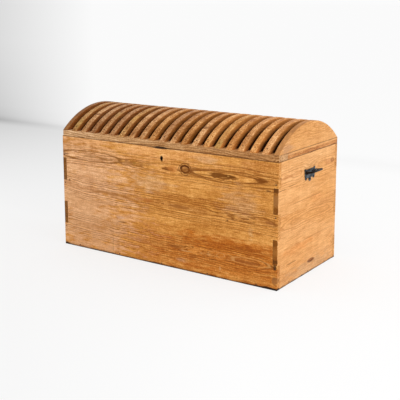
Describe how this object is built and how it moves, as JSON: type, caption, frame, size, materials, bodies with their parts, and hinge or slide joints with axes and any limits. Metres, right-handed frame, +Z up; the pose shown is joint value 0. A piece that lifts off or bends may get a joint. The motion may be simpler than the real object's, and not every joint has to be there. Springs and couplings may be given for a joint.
{
  "type": "dome top trunk",
  "caption": "Pine trunk with finger-jointed plank walls and an arched lid of sawn ribs over a staved lining, on stop hinges, with a keyhole lock and iron end handles.",
  "frame": {"origin": "middle of the chest's footprint, on the floor", "axes": "+Z up, +X along the chest towards its right end, front face and keyhole towards -Y, hinges at +Y"},
  "size_m": [1.2644, 0.5744, 0.6849],
  "materials": {
    "aged_pine": "waxed",
    "lid_pine": "waxed",
    "lining_pine": "dark with age",
    "bottom_pine": "bare",
    "iron_fasteners": "rust-browned",
    "lock_iron": "filed and dulled",
    "hinge_iron": "forged, oxidised",
    "handle_iron": "forged, oxidised"
  },
  "bodies": {
    "chest": {"front_plank_1": "aged_pine", "front_plank_2": "aged_pine", "front_plank_3": "aged_pine", "back_plank_1": "aged_pine", "back_plank_2": "aged_pine", "left_end_plank_1": "aged_pine", "left_end_plank_2": "aged_pine", "right_end_plank_1": "aged_pine", "right_end_plank_2": "aged_pine", "bottom_board_1": "bottom_pine", "bottom_board_2": "bottom_pine", "bottom_board_3": "bottom_pine", "chest_nails": "iron_fasteners", "chest_screws": "iron_fasteners", "handle_nails": "iron_fasteners", "lock_case": "lock_iron", "lock_spring": "lock_iron", "left_hinge_lower": "hinge_iron", "right_hinge_lower": "hinge_iron", "hinge_pins": "hinge_iron", "left_handle_plate": "handle_iron", "right_handle_plate": "handle_iron", "left_handle_lugs": "handle_iron", "right_handle_lugs": "handle_iron"},
    "lid": {"front_rail": "lid_pine", "back_rail": "lid_pine", "left_end_rail": "lid_pine", "right_end_rail": "lid_pine", "left_gable": "lid_pine", "right_gable": "lid_pine", "rib_01": "lid_pine", "rib_02": "lid_pine", "rib_03": "lid_pine", "rib_04": "lid_pine", "rib_05": "lid_pine", "rib_06": "lid_pine", "rib_07": "lid_pine", "rib_08": "lid_pine", "rib_09": "lid_pine", "rib_10": "lid_pine", "rib_11": "lid_pine", "rib_12": "lid_pine", "rib_13": "lid_pine", "rib_14": "lid_pine", "rib_15": "lid_pine", "rib_16": "lid_pine", "rib_17": "lid_pine", "rib_18": "lid_pine", "rib_19": "lid_pine", "lining_staves": "lining_pine", "rib_nails": "iron_fasteners", "lid_screws": "iron_fasteners", "lock_staple": "lock_iron", "left_hinge_upper": "hinge_iron", "right_hinge_upper": "hinge_iron"},
    "bolt": {"lock_bolt": "lock_iron"},
    "left_bail": {"left_handle_bail": "handle_iron"},
    "right_bail": {"right_handle_bail": "handle_iron"}
  },
  "joints": [
    {"name": "lid_hinge", "type": "hinge", "parent": "chest", "child": "lid", "pos_m": [0, 0.285, 0.548], "axis": [-1, 0, 0], "range_deg": [0, 105]},
    {"name": "lock_bolt_slide", "type": "slide", "parent": "chest", "child": "bolt", "axis": [1, 0, 0], "range_m": [0, 0.012]},
    {"name": "left_bail_swing", "type": "hinge", "parent": "chest", "child": "left_bail", "pos_m": [-0.611, 0, 0.464], "axis": [0, 1, 0], "range_deg": [0, 175]},
    {"name": "right_bail_swing", "type": "hinge", "parent": "chest", "child": "right_bail", "pos_m": [0.611, 0, 0.464], "axis": [0, -1, 0], "range_deg": [-105, 70]}
  ]
}
